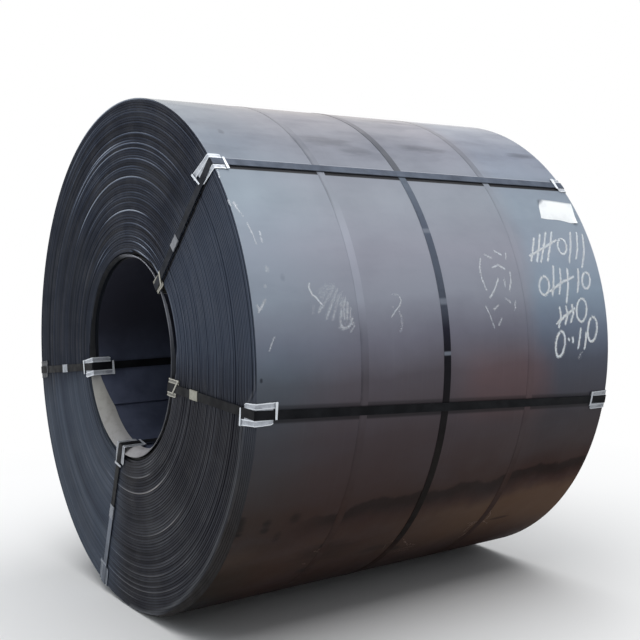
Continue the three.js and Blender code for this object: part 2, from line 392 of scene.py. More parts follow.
# Dark handling smudges: millimetres from the near end, angle, half width in mm, half length in
# degrees, strength.
SMUDGES = (
    (120, 34, 14, 1.2, 0.45), (423, 35, 20, 1.6, 0.4), (560, 34.5, 130, 2.6, 0.45),
    (650, 38, 90, 2.0, 0.35), (1080, 17.5, 170, 1.6, 0.35), (1042, 35.2, 120, 1.8, 0.5),
    (1600, 35.2, 90, 1.2, 0.5), (12, 120.6, 24, 3.2, 1.0), (121, 121.3, 20, 2.2, 0.8),
    (186, 125.1, 18, 1.6, 0.6), (234, 120.8, 24, 1.8, 0.6), (456, 134, 160, 4, 0.5),
    (134, 71.4, 10, 0.8, 0.2), (829, 140, 40, 1.3, 0.8), (700, 137.6, 90, 1.2, 0.5),
    (417, 141.1, 34, 1.4, 0.8), (418, 131.4, 12, 0.8, 0.7), (1345, 135.7, 60, 0.6, 0.6),
    (436, 84.8, 9, 0.6, 0.9), (1246, 62.9, 10, 0.6, 0.9), (1227, 87.9, 8, 0.6, 0.9),
    (20, 90.5, 6, 0.5, 0.9), (1493, 53.2, 22, 1.1, 0.6),
)
# Painted shadow and plain stripes beside the eye straps: strap, from and to in millimetres clockwise
# of its middle, softness, share, colour. The dark stripes on a strap's clockwise side are painted
# shadow.
STRAP_LINES = (
    ("1", 14, 33, 2.0, 1.0, (14, 15, 21)), ("1", -25, -16, 1.5, 0.3, (190, 192, 200)),
    ("2", 14, 30, 5.0, 0.75, (20, 19, 22)), ("2", -30, -14, 5.0, 0.5, (20, 19, 22)),
)
SCALE_METALLIC, SCALE_SPECULAR = 0.2, 0.16


def scale_colour(s):
    """The mill scale's colour round the barrel, with painted shading that makes it lighter above and
    darker below, where it is also brownish; and the angle, depth and unrolled vector it is drawn in."""
    angle, _, depth, unrolled = s.cylinder()
    side = abs(angle)
    drift = s.noise(2.2, 4, 0.6)
    share = (side + (drift - 0.5) * 7.0) / HALF_TURN
    # Painted shading: lighter on top, darker below, by angle.
    base = s.ramp(share, toned(SCALE_TONES_AND_SHADING), HALF_TURN)
    cloud = s.noise(3.4, 6, 0.62, distortion=0.4)
    base = s.mix(s.span(cloud, 0.4, 0.75, 0.0, 0.16), base, s.paint(0.5, base, (48, 48, 54)))
    warm = s.span(s.noise(1.3, 3, 0.5), 0.42, 0.62)
    base = s.tint(warm * s.span(side, 60, 110, 0.12, 0.35), base, (1.1, 0.96, 0.92))
    # The strip cooled bluer toward both its edges than between the outer straps.
    swayed = depth + drift * 0.2
    base = s.tint(s.fade(swayed, 0.1, 0.6), base, (0.97, 1.06, 1.07))
    base = s.tint(s.fade(swayed, 0.15, 0.45) * s.span(side, 80, 94), base, (0.9, 1.1, 1.13))
    rusty = s.window(swayed, (0.9, 1.1), (1.4, 1.5)) * s.window(side, (84, 95), (98, 107))
    base = s.tint(rusty, base, (1.32, 1.02, 0.95))
    base = s.tint(s.span(swayed, 1.3, 1.45), base, s.ramp(share, FAR_TINTS, HALF_TURN))
    soiled = s.span(side, 129, 138) * s.fade(swayed, 0.08, 0.4)
    base = s.tint(soiled, base, (0.2, 0.25, 0.27))
    # Painted light: lighter on top toward the far end.
    far_top_light = s.span(depth, 0.9, 1.15) * s.fade(side, 42, 48)
    base = s.tint(far_top_light, base, (1.18, 1.17, 1.17))
    return base, angle, depth, unrolled


def dullness(s, angle, depth):
    """What the dried dirt low on the barrel adds to the roughness, toward the far end and by the near
    rim."""
    side = abs(angle)
    far = s.span(side, 109, 120, 0.0, 0.28) * s.span(depth, 0.9, 1.4)
    near = s.span(side, 128, 136, 0.0, 0.3) * s.fade(depth, 0.1, 0.4)
    return far + near


def line_beside(s, angle, depth, strap, low, high, soft):
    """A mask for a stripe between two distances, in millimetres, clockwise of an eye strap's middle."""
    start, end, _ = EYE_STRAPS[strap]
    offset = angle - (depth * ((end - start) / (2 * HALF_WIDTH)) + start)
    across = offset * (math.radians(1) * RADIUS / MM)
    return s.window(across, (low - soft, low + soft), (high - soft, high + soft))


def barrel_material():
    s = Shader("mill_scale_barrel", metallic=SCALE_METALLIC, specular=SCALE_SPECULAR)
    base, angle, depth, unrolled = scale_colour(s)
    streaks = s.stretched(unrolled, (60.0, 1.2, 1.0), 4, 0.6)
    lit = s.span(abs(angle), 90, 108, 1.0, 0.25)
    base = s.paint(lit * s.span(streaks, 0.5, 0.85, 0.0, 0.05), base, (150, 152, 158))
    clouds = s.stretched(unrolled, (3.0, 9.0, 1.0), 4, 0.6)
    above = s.span(abs(angle), 40, 47, 1.0, 0.25)
    base = s.paint(above * s.span(clouds, 0.42, 0.7, 0.0, 0.3), base, (66, 70, 84))

    # A run of dried wet along the lower side, dark at its upper edge. The edge climbs toward the far
    # end, and less past 0.95 m.
    ragged = (s.stretched(unrolled, (4.0, 3.0, 1.0), 4, 0.6) - 0.5) * 9.0
    line = 122.5 - depth * 3.2 + s.math("MAXIMUM", depth - 0.95, 0.0) * 2.2
    below_line = angle - line + ragged
    stain = s.window(below_line, (-0.5, 0.5), (1.5, 5.5)) * s.span(depth, 0.18, 0.45, 0.0, 0.92)
    base = s.paint(stain, base, (24, 11, 8))
    dried = s.window(below_line, (4, 9), (14, 30)) * s.span(depth, 0.6, 1.3, 0.1, 0.6)
    base = s.paint(dried, base, (96, 74, 57))

    smear = (s.stretched(unrolled, (6.0, 34.0, 1.0), 5, 0.62) - 0.5) * 3.4
    for place, at, wide, long, strength in SMUDGES:
        across = (angle - at) / long
        beside = (depth - place * MM) / (wide * MM)
        away = across * across + beside * beside + smear
        base = s.tint(s.span(away, -0.4, 1.5, strength, 0.0), base, (0.13, 0.13, 0.16))
    # Painted shadow on the straps' clockwise side, and plain stripes beside them.
    for strap, low, high, soft, share, colour in STRAP_LINES:
        base = s.paint(line_beside(s, angle, depth, strap, low, high, soft) * share, base, colour)
    return s.done(base, (streaks * 0.5 + s.noise(60.0, 3), 0.1, 0.002), (5.0, 5, 0.46, 0.58),
                  dullness(s, angle, depth))


# ---- the looks of the ends and the bore ----
# From the darkest wrap edge, tone -0.5, to the brightest, tone 1.5.
EDGE_TONES = (
    (0.0, (6, 7, 11)), (0.2, (16, 19, 29)), (0.34, (32, 37, 50)), (0.5, (46, 53, 68)),
    (0.7, (96, 105, 122)), (1.0, (188, 196, 210)),
)
# How much lighter a wrap is, by wear and painted glint, from its lip (0) down into the groove (1).
LIP_WEAR_AND_GLINT = ((0.0, 0.0), (0.02, 0.0), (0.12, 0.5), (0.4, 0.25), (0.6, 0.0))
SHOULDER_TONES = (
    (92, (68, 72, 82)), (104, (50, 52, 58)), (112, (44, 44, 47)), (124, (36, 33, 33)),
    (140, (31, 29, 29)), (180, (28, 25, 25)),
)
SHOULDER_FROM, SHOULDER_SPAN = 900, 120   # millimetres: a ramp from 0 to 1 covers this range of radii


def end_face_material():
    """The strip's sheared edges: dark scale, with a lighter lip, worn and painted glint, on some wraps.
    """
    s = Shader("mill_scale_edges", metallic=0.04, specular=0.04)
    angle, distance, depth, _ = s.cylinder()
    tone, groove = s.layer("tone"), s.layer("groove")
    base = s.ramp(s.span(tone, -0.5, 1.5), toned(EDGE_TONES))
    base = s.paint(s.span(s.noise(4.0, 5, 0.6), 0.35, 0.7, 0.0, 0.25), base, (20, 21, 25))
    # The lip's lighter colour follows the tone layer, where the painted glints are.
    lip = s.ramp(groove, LIP_WEAR_AND_GLINT) * s.span(tone, 0.1, 0.9, 0.05, 1.0)
    base = s.paint(lip, base, (118, 122, 130))
    # Browner from the right eye strap round to the lowest one, and dusky above the right one.
    turned = s.math("MODULO", angle + FULL_TURN, FULL_TURN)
    base = s.tint(s.window(turned, (85, 105), (180, 198)), base, (1.42, 1.18, 0.92))
    base = s.paint(s.window(angle, (30, 60), (80, 100)) * 0.72, base, (72, 80, 95))
    base = s.paint(s.span(groove, 0.45, 1.0), base, (13, 14, 18))
    # The plain shoulder low on the right of the near end, where the outermost wraps draw back.
    share = angle / HALF_TURN
    begins = [(at, (begin - SHOULDER_FROM) / SHOULDER_SPAN)
              for at, begin in ((0, SHOULDER_FROM + SHOULDER_SPAN), *SHOULDER)]
    start = s.ramp(share, begins, HALF_TURN) * (SHOULDER_SPAN * MM) + SHOULDER_FROM * MM
    outside = distance - start
    near_end = s.fade(depth, 0.05, 0.06) * s.span(angle, 88, 92)
    worn = s.span(outside, -0.026, -0.012) * s.span(outside, -0.012, -0.002, 0.3, 0.0)
    base = s.paint(worn * near_end, base, (112, 114, 118))
    plain = s.ramp(share, toned(SHOULDER_TONES), HALF_TURN)
    base = s.mix(s.span(outside, -0.004, 0.006) * near_end, base, plain)
    # Painted sheen: pale and bluish on the left half, more so low on the left, in broad soft bands.
    left = s.window(angle, (-150, -60), (-60, -15))
    low_left = s.window(angle, (-180, -158), (-110, -95))
    bands = s.stretched(s.field("CombineXYZ", {"X": distance}), (14.0, 1.0, 1.0), 3, 0.6)
    left_sheen = s.math("MAXIMUM", left * 0.2, low_left) * s.span(bands, 0.35, 0.65, 0.16, 0.36)
    base = s.paint(left_sheen, base, (112, 122, 136))
    # Painted shadow: a dark line beside the first eye strap, on its clockwise side.
    past_strap = angle - EYE_STRAPS["1"][0]
    across = s.math("SINE", s.math("RADIANS", past_strap)) * distance
    band = s.window(across, (0.014, 0.017), (0.024, 0.036)) * s.fade(abs(past_strap), 30, 40)
    base = s.paint(band, base, (9, 10, 13))
    return s.done(base, (s.noise(180.0, 3), 0.25, 0.001), (9.0, 4, 0.42, 0.62))


def bore_material():
    """The innermost wrap, seen only inside the eye: dark scale in shade."""
    s = Shader("mill_scale_bore", metallic=0.08, specular=0.1)
    angle, _, _, unrolled = s.cylinder()
    base = s.two_tone(s.noise(4.0, 5, 0.6), 0.3, 0.7, (56, 61, 77), (80, 86, 105))
    # Painted shade: darker on the upper part of the bore.
    base = s.paint(s.span(abs(angle), 70, 115, 0.9, 0.0), base, (38, 38, 46))
    streaks = s.stretched(unrolled, (60.0, 1.2, 1.0), 4)
    return s.done(base, (streaks, 0.15, 0.002), (6.0, 4, 0.62, 0.76))


# ---- the looks of the smaller pieces ----
def strap_material(name, dark, light, lit_colour=None, lit_from=None):
    """Blued steel strapping: an uneven oxide. The lit colour is a painted highlight on a run of it:
    along the barrel, or on the near end beyond a distance from the axis."""
    s = Shader(name, metallic=0.05, specular=0.06)
    wear = s.noise(14.0, 5, 0.6)
    base = s.two_tone(wear, 0.35, 0.75, dark, light)
    # Painted highlight: a lighter run where the strap catches the light.
    if lit_colour:
        _, distance, depth, _ = s.cylinder()
        if lit_from:
            share = s.span(distance, lit_from, lit_from + 0.008) * s.fade(depth, 0.01, 0.02)
        else:
            share = s.span(depth, -0.001, 0.004) * s.span(distance, 0.9, 0.95)
        base = s.mix(share, base, s.two_tone(wear, 0.3, 0.7, lit_colour, light, 0.4))
    return s.done(base, (s.noise(120.0, 3), 0.1, 0.001), (30.0, 4, 0.42, 0.62))


def galvanised_material(name, dark, light, edge=None, roughness=0.42, metallic=0.45):
    """Zinc-coated sheet: pale, with a faint spangle and grey handling marks, its raised edges brighter,
    rubbed and with a painted highlight."""
    s = Shader(name, metallic=metallic)
    spangle = s.field("TexVoronoi", {"Scale": 150.0, "Vector": s.place}, "Distance", feature="F1")
    base = s.two_tone(spangle * 0.25 + s.noise(26.0, 4, 0.6), 0.35, 0.85, dark, light)
    if edge:
        # Raised edges lighter: rubbed zinc and a painted highlight.
        base = s.paint(s.span(s.layer("raised"), 0.3, 0.9), base, edge)
    base = s.paint(s.span(s.noise(70.0, 5, 0.65), 0.58, 0.8, 0.0, 0.45), base, (88, 91, 96))
    return s.done(base, (s.noise(160.0, 3), 0.15, 0.0006), (80.0, 4, roughness - 0.06, roughness + 0.14))


def paper_material():
    s = Shader("label_paper", roughness=0.7)
    base = s.two_tone(s.noise(18.0, 4), 0.4, 0.75, (244, 247, 248), (220, 224, 227), 0.5)
    return s.done(s.paint(s.layer("torn"), base, (126, 133, 144)), (s.noise(60.0, 4), 0.25, 0.001))


def chalk_material():
    s = Shader("chalk", roughness=0.9)
    base = s.two_tone(s.noise(90.0, 3), 0.3, 0.7, (253, 254, 255), (234, 242, 250))
    return s.done(base, (s.noise(400.0, 2), 0.5, 0.0006))


def rubbed_steel_material(name, dark, light):
    """Scale scraped thin by handling, paler than what is round it."""
    s = Shader(name, metallic=0.5)
    base = s.two_tone(s.noise(40.0, 4), 0.3, 0.7, dark, light)
    return s.done(base, (s.noise(300.0, 2), 0.3, 0.0005))


# ---- the coil: one strip wound from its head in the eye to its tail on the barrel ----
SHOULDER_SLOPE = 0.12     # how far back each wrap of the shoulder lies, against how far out it is
# Angles, and how much lighter the ends' dark tone is at each.
END_LIGHT = (
    (0, 30, 60, 90, 120, 150, 180, 240, 280, 360), (0, 0.4, 2.6, 2.2, 2.2, 1.4, 0.4, 1, 0, 0),
)
TOP_TURN = 6              # degrees anticlockwise of the top: the middle of the bright arcs above the eye
LOW_MIDDLE = 174          # the middle of those below it, as an angle from there
CLUSTER_RADIUS = 478      # millimetres: a bundle of bright arcs below the eye
RIM_BAND = 0.996          # metres: the wraps beyond are a lighter band on the right


def wound_radii():
    """The radius on the inside of the strip at each station, then of the rim outside its last turn."""
    bound = np.empty(COUNT)
    first_turn = STATIONS < STEPS
    bound[first_turn] = EYE_RADIUS + HEAD_STEP * (STATIONS[first_turn] / STEPS) ** 1.5
    wound = (STATIONS[~first_turn] - STEPS) / (LAST - STEPS)
    bound[~first_turn] = EYE_RADIUS + HEAD_STEP + (RADIUS - TAIL_STEP - EYE_RADIUS - HEAD_STEP) * wound
    past_tail = np.arange(1, STEPS + 1)
    rim = RADIUS - TAIL_STEP * (1 - smooth_step(past_tail / (STEPS / 3)))
    return np.concatenate([bound, rim])


def end_lines(rng, end, bounds):
    """The three lines of points that wind round one end: the groove's, a wrap's inner lip and its
    outer lip. Each wrap lies some way back from the end's plane: a little by itself, more in the eye's
    mouth and on the plain shoulder."""
    proud = 1.5 + 0.7 * strip_noise(rng, 23) + 1.1 * strip_noise(rng, 97)
    odd = each_turn(rng.uniform(-0.6, 0.6, WHOLE_TURNS + 2))
    inner, outer = bounds[:COUNT], bounds[STEPS:]
    middle = (inner + outer) / 2
    edge = by_angle(RECESS_EDGE, ANGLES)
    mouth = np.clip((edge - middle) / (edge - EYE_RADIUS), 0, 1) ** 0.8
    shoulder = np.interp(WRAPPED, *zip(*SHOULDER), left=NO_SHOULDER, right=NO_SHOULDER) * MM
    past = np.clip(middle - shoulder, 0, 1) if end < 0 else np.zeros(COUNT)
    plain = np.clip(past / (8 * MM), 0, 1)
    back = np.clip((proud + odd) * (1 - plain), 0, 4) * MM
    back = back + mouth * MOUTH_DEPTH * MM + SHOULDER_SLOPE * past
    lip = np.minimum(LIP, 0.28 * (outer - inner)) * (1 - 0.85 * plain)
    neighbour = np.concatenate([back[:STEPS], back])[:COUNT]
    uneven = 0.6 + 0.4 * strip_noise(rng, 47)
    depth = np.maximum(back, neighbour) + GROOVE * uneven * (1 - 0.9 * plain)
    depth[:STEPS] = back[:STEPS] + LIP
    depth = np.concatenate([depth, back[-STEPS:] + LIP])
    all_angles = HEAD_ANGLE + np.arange(len(bounds)) * STEP_ANGLE
    rounding = 0.9 * MM * (1 - 0.9 * plain)
    return (around_many(all_angles, bounds, end * (HALF_WIDTH - depth)),
            around_many(ANGLES, inner + 1.6 * lip, end * (HALF_WIDTH - back - rounding)),
            around_many(ANGLES, outer - lip, end * (HALF_WIDTH - back)))


def end_tones(rng, bounds):
    """The tones of those three lines: some turns have a painted glint in an arc above the eye or below
    it; the mouth's edge and the rim are lighter on the right; wraps behind that edge get painted shade."""
    middle = (bounds[:COUNT] + bounds[STEPS:]) / 2
    edge = by_angle(RECESS_EDGE, ANGLES)
    tone = 0.14 + 0.1 * strip_noise(rng, 31) + 0.12 * strip_noise(rng, 140)
    tone += 0.1 * np.interp(WRAPPED, *END_LIGHT)
    picked, reach, faint, low_reach = each_turn(rng.random((WHOLE_TURNS + 2, 4))).T
    from_top = np.abs(np.mod(ANGLES + HALF_TURN + TOP_TURN, FULL_TURN) - HALF_TURN)
    above = 0.1 + 0.8 * picked ** 1.4
    above *= np.clip((28 + 26 * reach - from_top) / 20, 0.04, 1)
    below = 0.1 + 0.42 * faint ** 1.8
    below *= np.clip((18 + 22 * low_reach - np.abs(from_top - LOW_MIDDLE)) / 16, 0.05, 1)
    cluster = np.exp(-((middle / MM - CLUSTER_RADIUS) / 14) ** 2)
    cluster = cluster * np.clip((17 - np.abs(from_top - 176)) / 5, 0, 1)
    below = np.maximum(below, 0.5 * cluster)
    glint = np.where(from_top < 90, above, below) * np.clip((middle - edge) / (26 * MM), 0.35, 1)
    glint *= np.clip(0.9 + 0.7 * strip_noise(rng, 19), 0.2, 1.5)
    lip_band = np.exp(-((middle - edge) / (5 * MM)) ** 2) * (edge > by_angle(RING_LIP, ANGLES) + 8 * MM)
    lit = np.interp(WRAPPED, (0, 15, 70, 95, 345), (0.3, 1, 1, 0, 0), period=FULL_TURN)
    glint += 0.9 * lip_band * lit
    rim_tone = (middle > RIM_BAND) * np.interp(WRAPPED, (40, 60, 88, 94), (0.05, 0.25, 0.25, 0.0))
    # Painted shade: the wraps set back in the eye's mouth are darker and lose most of their glint.
    behind = middle < edge - 3 * MM
    tone = np.where(behind, -0.3, tone)
    glint = np.where(behind, 0.1 * glint, glint)
    return np.zeros(len(bounds)), tone + rim_tone + 0.25 * glint, tone + rim_tone + glint


def build_coil():
    rng = np.random.default_rng(41)
    bounds = wound_radii()
    barrel, edges, bore = 0, 1, 2   # the materials' places on the coil
    # The near end's groove comes first, then its inner lips, its outer lips, and the far end.
    low, high, far = len(bounds), len(bounds) + COUNT, len(bounds) + 2 * COUNT
    points, tones, faces, kinds = [], [], [], []

    def add_faces(a, b, count, kind, turned):
        a, b = a + np.arange(count), b + np.arange(count)
        quads = np.stack([a, b, b + 1, a + 1], axis=1)
        faces.extend(map(tuple, (quads[:, ::-1] if turned else quads).tolist()))
        kinds.extend([kind] * count)

    for end, start in ((-1, 0), (1, far)):
        points += end_lines(rng, end, bounds)
        tones += end_tones(rng, bounds)
        for a, b in ((0, low), (low, high), (high, STEPS)):
            add_faces(start + a, start + b, LAST, edges, end < 0)
    add_faces(0, far, STEPS, bore, False)
    add_faces(LAST, far + LAST, STEPS, barrel, True)
    head = (0, low, high, STEPS, far + STEPS, far + high, far + low, far)
    faces += [head, tuple(i + LAST for i in head[::-1])]
    kinds += [bore, barrel]
    grooves = [np.ones(len(bounds)), np.zeros(2 * COUNT)] * 2
    coil = add_mesh("coil_wound_strip", np.concatenate(points), faces,
                    [barrel_material(), end_face_material(), bore_material()],
                    smooth_angle=28, face_materials=kinds,
                    layers={"tone": np.concatenate(tones), "groove": np.concatenate(grooves)})
    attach(coil, "root")
    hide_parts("coil")


# ---- straps round the barrel ----
# What the sheet's brightness is multiplied by, at angles from the top.
NEAR_STRAP_SHADE = (
    (0, 0.97), (26, 0.92), (36, 0.85), (44, 0.86), (46, 0.93), (54, 0.96), (61, 1.16), (77, 1.12),
    (82, 0.9), (92, 0.78), (98, 0.94), (180, 0.92),
)
MIDDLE_STRAP_SHADE = (
    (0, 0.92), (20, 0.82), (30, 0.6), (40, 0.46), (132, 0.46), (142, 0.85), (180, 0.85),
)
FAR_STRAP_SHADE = (
    (0, 0.92), (28, 0.76), (44, 0.74), (46, 0.97), (58, 0.97), (64, 1.03), (74, 1.02), (82, 0.97),
    (95, 0.92), (180, 0.96),
)
# How much of the grime along a strap's near side there is, at angles from the top.
NEAR_STRAP_GRIME = (
    (0, 0.2), (24, 0.5), (44, 0.6), (54, 0.4), (58, 0.0), (80, 0.0), (85, 0.5), (96, 0.6), (100, 0.25),
    (180, 0.3),
)
FAR_STRAP_GRIME = ((0, 0.1), (44, 0.3), (52, 0.2), (60, 0.05), (90, 0.15), (180, 0.1))
# The middle strap's blued colour where it isn't scaled over, with painted shading: lighter above,
# near black below. And its light marks as (angle, half length).
BLUED_TONES_AND_SHADING = (
    (46, (92, 101, 113)), (61, (83, 90, 105)), (72, (81, 88, 101)), (79, (68, 73, 85)),
    (83, (32, 32, 44)), (88, (12, 12, 20)), (110, (14, 9, 7)), (180, (24, 16, 13)),
)
STRAP_LIGHT_MARKS = ((61.5, 0.8), (77.4, 1.0), (88.3, 0.6))
# Each strap's name, its look's name, its slot, its shade and its grime.
BODY_STRAPS = (
    ("near", "scaled_strap_near", "scaled_strap", NEAR_STRAP_SHADE, NEAR_STRAP_GRIME),
    ("middle", "blued_strap_body", "blued_strap", MIDDLE_STRAP_SHADE, None),
    ("far", "scaled_strap_far", "scaled_strap", FAR_STRAP_SHADE, FAR_STRAP_GRIME),
)


def body_strap_material(name, shade, grime, near_side):
    """A strap round the barrel. With grime it is scaled to nearly the sheet's own tone, with a line of
    grime along its near side. Without, it is the blued one."""
    if grime:
        s = Shader(name, metallic=SCALE_METALLIC, specular=SCALE_SPECULAR)
    else:
        s = Shader(name, metallic=0.08, specular=0.08)
    base, angle, depth, unrolled = scale_colour(s)
    side = abs(angle)
    share = side / HALF_TURN
    base = s.mix(1.0, base, s.ramp(share, shade, HALF_TURN), "MULTIPLY")
    if grime:
        streak = s.span(s.stretched(unrolled, (4.0, 11.0, 1.0), 4, 0.6), 0.35, 0.6, 0.15, 0.75)
        where = s.ramp(share, grime, HALF_TURN)
        grimed = s.fade(depth, near_side + 0.003, near_side + 0.012) * (streak * where)
        base = s.tint(grimed, base, (0.3, 0.3, 0.34))
    else:
        # Painted shading on the blued strap: lighter above, near black below.
        blued = s.ramp(share, toned(BLUED_TONES_AND_SHADING), HALF_TURN)
        wear = s.span(s.noise(30.0, 4, 0.6), 0.45, 0.8, 0.0, 0.6)
        covered = s.span(side, 44.5, 46) * s.span(side, 133, 141, 1.0, 0.2)
        base = s.mix(covered, base, s.tint(wear, blued, (0.6, 0.6, 0.62)))
        # Small light marks on the strap.
        for at, wide in STRAP_LIGHT_MARKS:
            base = s.paint(s.span(abs(angle - at), 0.3 * wide, wide, 0.75, 0.0), base, (122, 128, 140))
    return s.done(base, (s.noise(120.0, 3), 0.1, 0.001), (20.0, 4, 0.46, 0.6), dullness(s, angle, depth))


def build_body_straps():
    for name, look_name, slot, shade, grime in BODY_STRAPS:
        inner, thickness = RADIUS + FLAT_STRAP_LIFT, FLAT_STRAP_THICKNESS
        if name == "middle":
            inner, thickness = BODY_STRAP_RADIUS - BODY_STRAP_THICKNESS, BODY_STRAP_THICKNESS
        low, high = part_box("body_strap_" + name)
        look = body_strap_material(look_name, shade, grime, low[1] + HALF_WIDTH)
        sides = np.linspace(low[1], high[1], 4)
        grid = np.stack([around_many(ONE_TURN, inner, y) for y in sides], axis=1)
        points, faces = shell(grid, thickness, closed_rows=True)
        band = add_mesh(f"body_strap_{name}_band", points, faces, [look])
        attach(band, "root")
        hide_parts("body_strap_" + name)


# ---- the rings that line the eye's mouth ----
RING_TONES = (   # clockwise from the bottom, in degrees
    (0, (156, 154, 156)), (21.6, (148, 147, 147)), (61.2, (152, 151, 146)), (73.8, (128, 128, 127)),
    (84.6, (18, 20, 24)), (165.6, (20, 22, 27)), (190.8, (150, 152, 160)), (244.8, (150, 152, 160)),
    (266.4, (92, 95, 102)), (316.8, (110, 110, 114)), (360, (156, 154, 156)),
)
RING_FLARE = 46 * MM      # how deep in the eye the ring still widens toward its lip
RING_STANDOFF = 1.5 * MM  # between the ring and the bore
RING_SHEET = 1 * MM       # its thickness
RING_FRONT = 1.6 * MM     # how far back from the end's plane it starts
RING_CURL = (0.4 * MM, 3.4 * MM)   # how far its lip's edge is turned out, and back


def ring_material():
    """Thin pale sheet with darker marks: pale low on the left and on the upper right, near black from
    the left to the top.
    """
    s = Shader("ring_sheet", specular=0.15)
    angle, _, _, _ = s.cylinder()
    tones = s.ramp((angle + HALF_TURN) / FULL_TURN, toned(RING_TONES), FULL_TURN)
    marks = s.span(s.noise(30.0, 5, 0.6), 0.45, 0.75, 0.0, 0.4)
    base = s.tint(marks, tones, (0.56, 0.53, 0.5))
    return s.done(base, (s.noise(90.0, 3), 0.2, 0.0008), (50.0, 4, 0.48, 0.66))


def build_eye_rings():
    look = ring_material()
    throat = EYE_RADIUS - RING_STANDOFF
    curl_out, curl_back = RING_CURL
    lip, reach = by_angle(RING_LIP, ONE_TURN), by_angle(RING_DEPTH, ONE_TURN)
    for end_name, end in (("near", -1), ("far", 1)):
        columns = [around_many(ONE_TURN, lip + curl_out, end * (HALF_WIDTH - curl_back))]
        for share in np.linspace(0, 1, 15):
            depth = share * reach
            spread = np.clip(1 - depth / RING_FLARE, 0, 1) ** 2
            columns.append(around_many(ONE_TURN, throat + (lip - throat) * spread,
                                       end * (HALF_WIDTH - RING_FRONT - depth)))
        grid = np.stack(columns, axis=1)
        points, faces = shell(grid if end > 0 else grid[::-1], RING_SHEET, closed_rows=True)
        ring = add_mesh(f"eye_ring_{end_name}_sheet", points, faces, [look], smooth_angle=50)
        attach(ring, "root")
        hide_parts("eye_ring_" + end_name)


# ---- corner protectors ----
PLATE_LIFT = 0.74         # millimetres, as are all sizes of a protector here
PLATE_THICKNESS = 1.2
PLATE_BEND = 3.0
WINDOW_EDGE = 17.2        # from the strap's middle to a side bar
RIM_STANDOFF = 0.9        # how far out from the coil's radius a rim plate's corner lies
EYE_PLATE_RADIUS = 375.9
# What sets a protector's shape apart, as protector_parts has it. On others a tab springs from the
# anticlockwise side (-1) on the near end and from the other (1) on the far one.
SHAPES = {
    "rim_1_near": {"tab": 1, "face": 128, "body": 56, "trim": (31, 10), "skew": -0.21, "flare": 6,
                   "slant": 0.25},
    "rim_2_near": {"face": 92, "body": 81, "trim": (24, 13), "skew": 0.17, "flare": 2},
    "rim_1_far": {"tab": -1, "body": 50, "trim": (15, 10), "wide": 16},
    "rim_2_far": {"tab": -1, "body": 92, "trim": (15, 6), "flick": 1},
    "eye_1_near": {"tab": 1, "face": 76, "skew": 0.2, "edge": 30, "slant": 0.5},
    "eye_2_near": {"tab": 1, "face": 84, "skew": -0.2, "edge": 34, "slant": 0.65},
    "eye_4_near": {"face": 92, "body": 93},
    "eye_1_far": {"tab": -1},
}
# Each zinc as (dark, light, raised edge), and the protectors that aren't of the first. The raised
# edge's colour holds a painted highlight.
ZINCS = {
    "zinc": ((138, 142, 150), (176, 181, 189), (214, 219, 225)),
    "zinc_dull": ((84, 89, 98), (112, 118, 127), (136, 142, 152)),
    # Near black: zinc painted as in shade.
    "zinc_shaded": ((22, 25, 31), (34, 38, 45), (44, 49, 58)),
    "zinc_worn": ((112, 115, 121), (146, 150, 156), (178, 182, 188)),
    "zinc_warm": ((84, 83, 78), (118, 116, 108), (168, 166, 156)),
}
# Rim protector 4 takes the zinc painted as in shade.
ODD_ZINCS = {"rim_3": "zinc_dull", "rim_4": "zinc_shaded", "eye_3": "zinc_worn", "eye_2": "zinc_warm",
             "eye_1": "zinc_warm", "rim_2_far": "zinc_worn"}


def folded(where, height):
    """A place on a plate bent over the corner, as (off the end face, off the barrel or eye). It runs
    from the end of the face leg, negative, through the corner to the other leg's end."""
    arc = PLATE_BEND * math.pi / 2
    if where < -arc / 2:
        return height, -PLATE_BEND + (where + arc / 2)
    if where > arc / 2:
        return -PLATE_BEND - (where - arc / 2), height
    turn = (where + arc / 2) / PLATE_BEND
    reach = PLATE_BEND + height
    return -PLATE_BEND + reach * math.cos(turn), -PLATE_BEND + reach * math.sin(turn)


def leg_stations(face_end, body_end, count):
    """Places along a plate, close together round its corner."""
    return np.concatenate([np.linspace(-face_end, -4, count), np.linspace(-2.4, 2.4, 5),
                           np.linspace(4, body_end, count)])


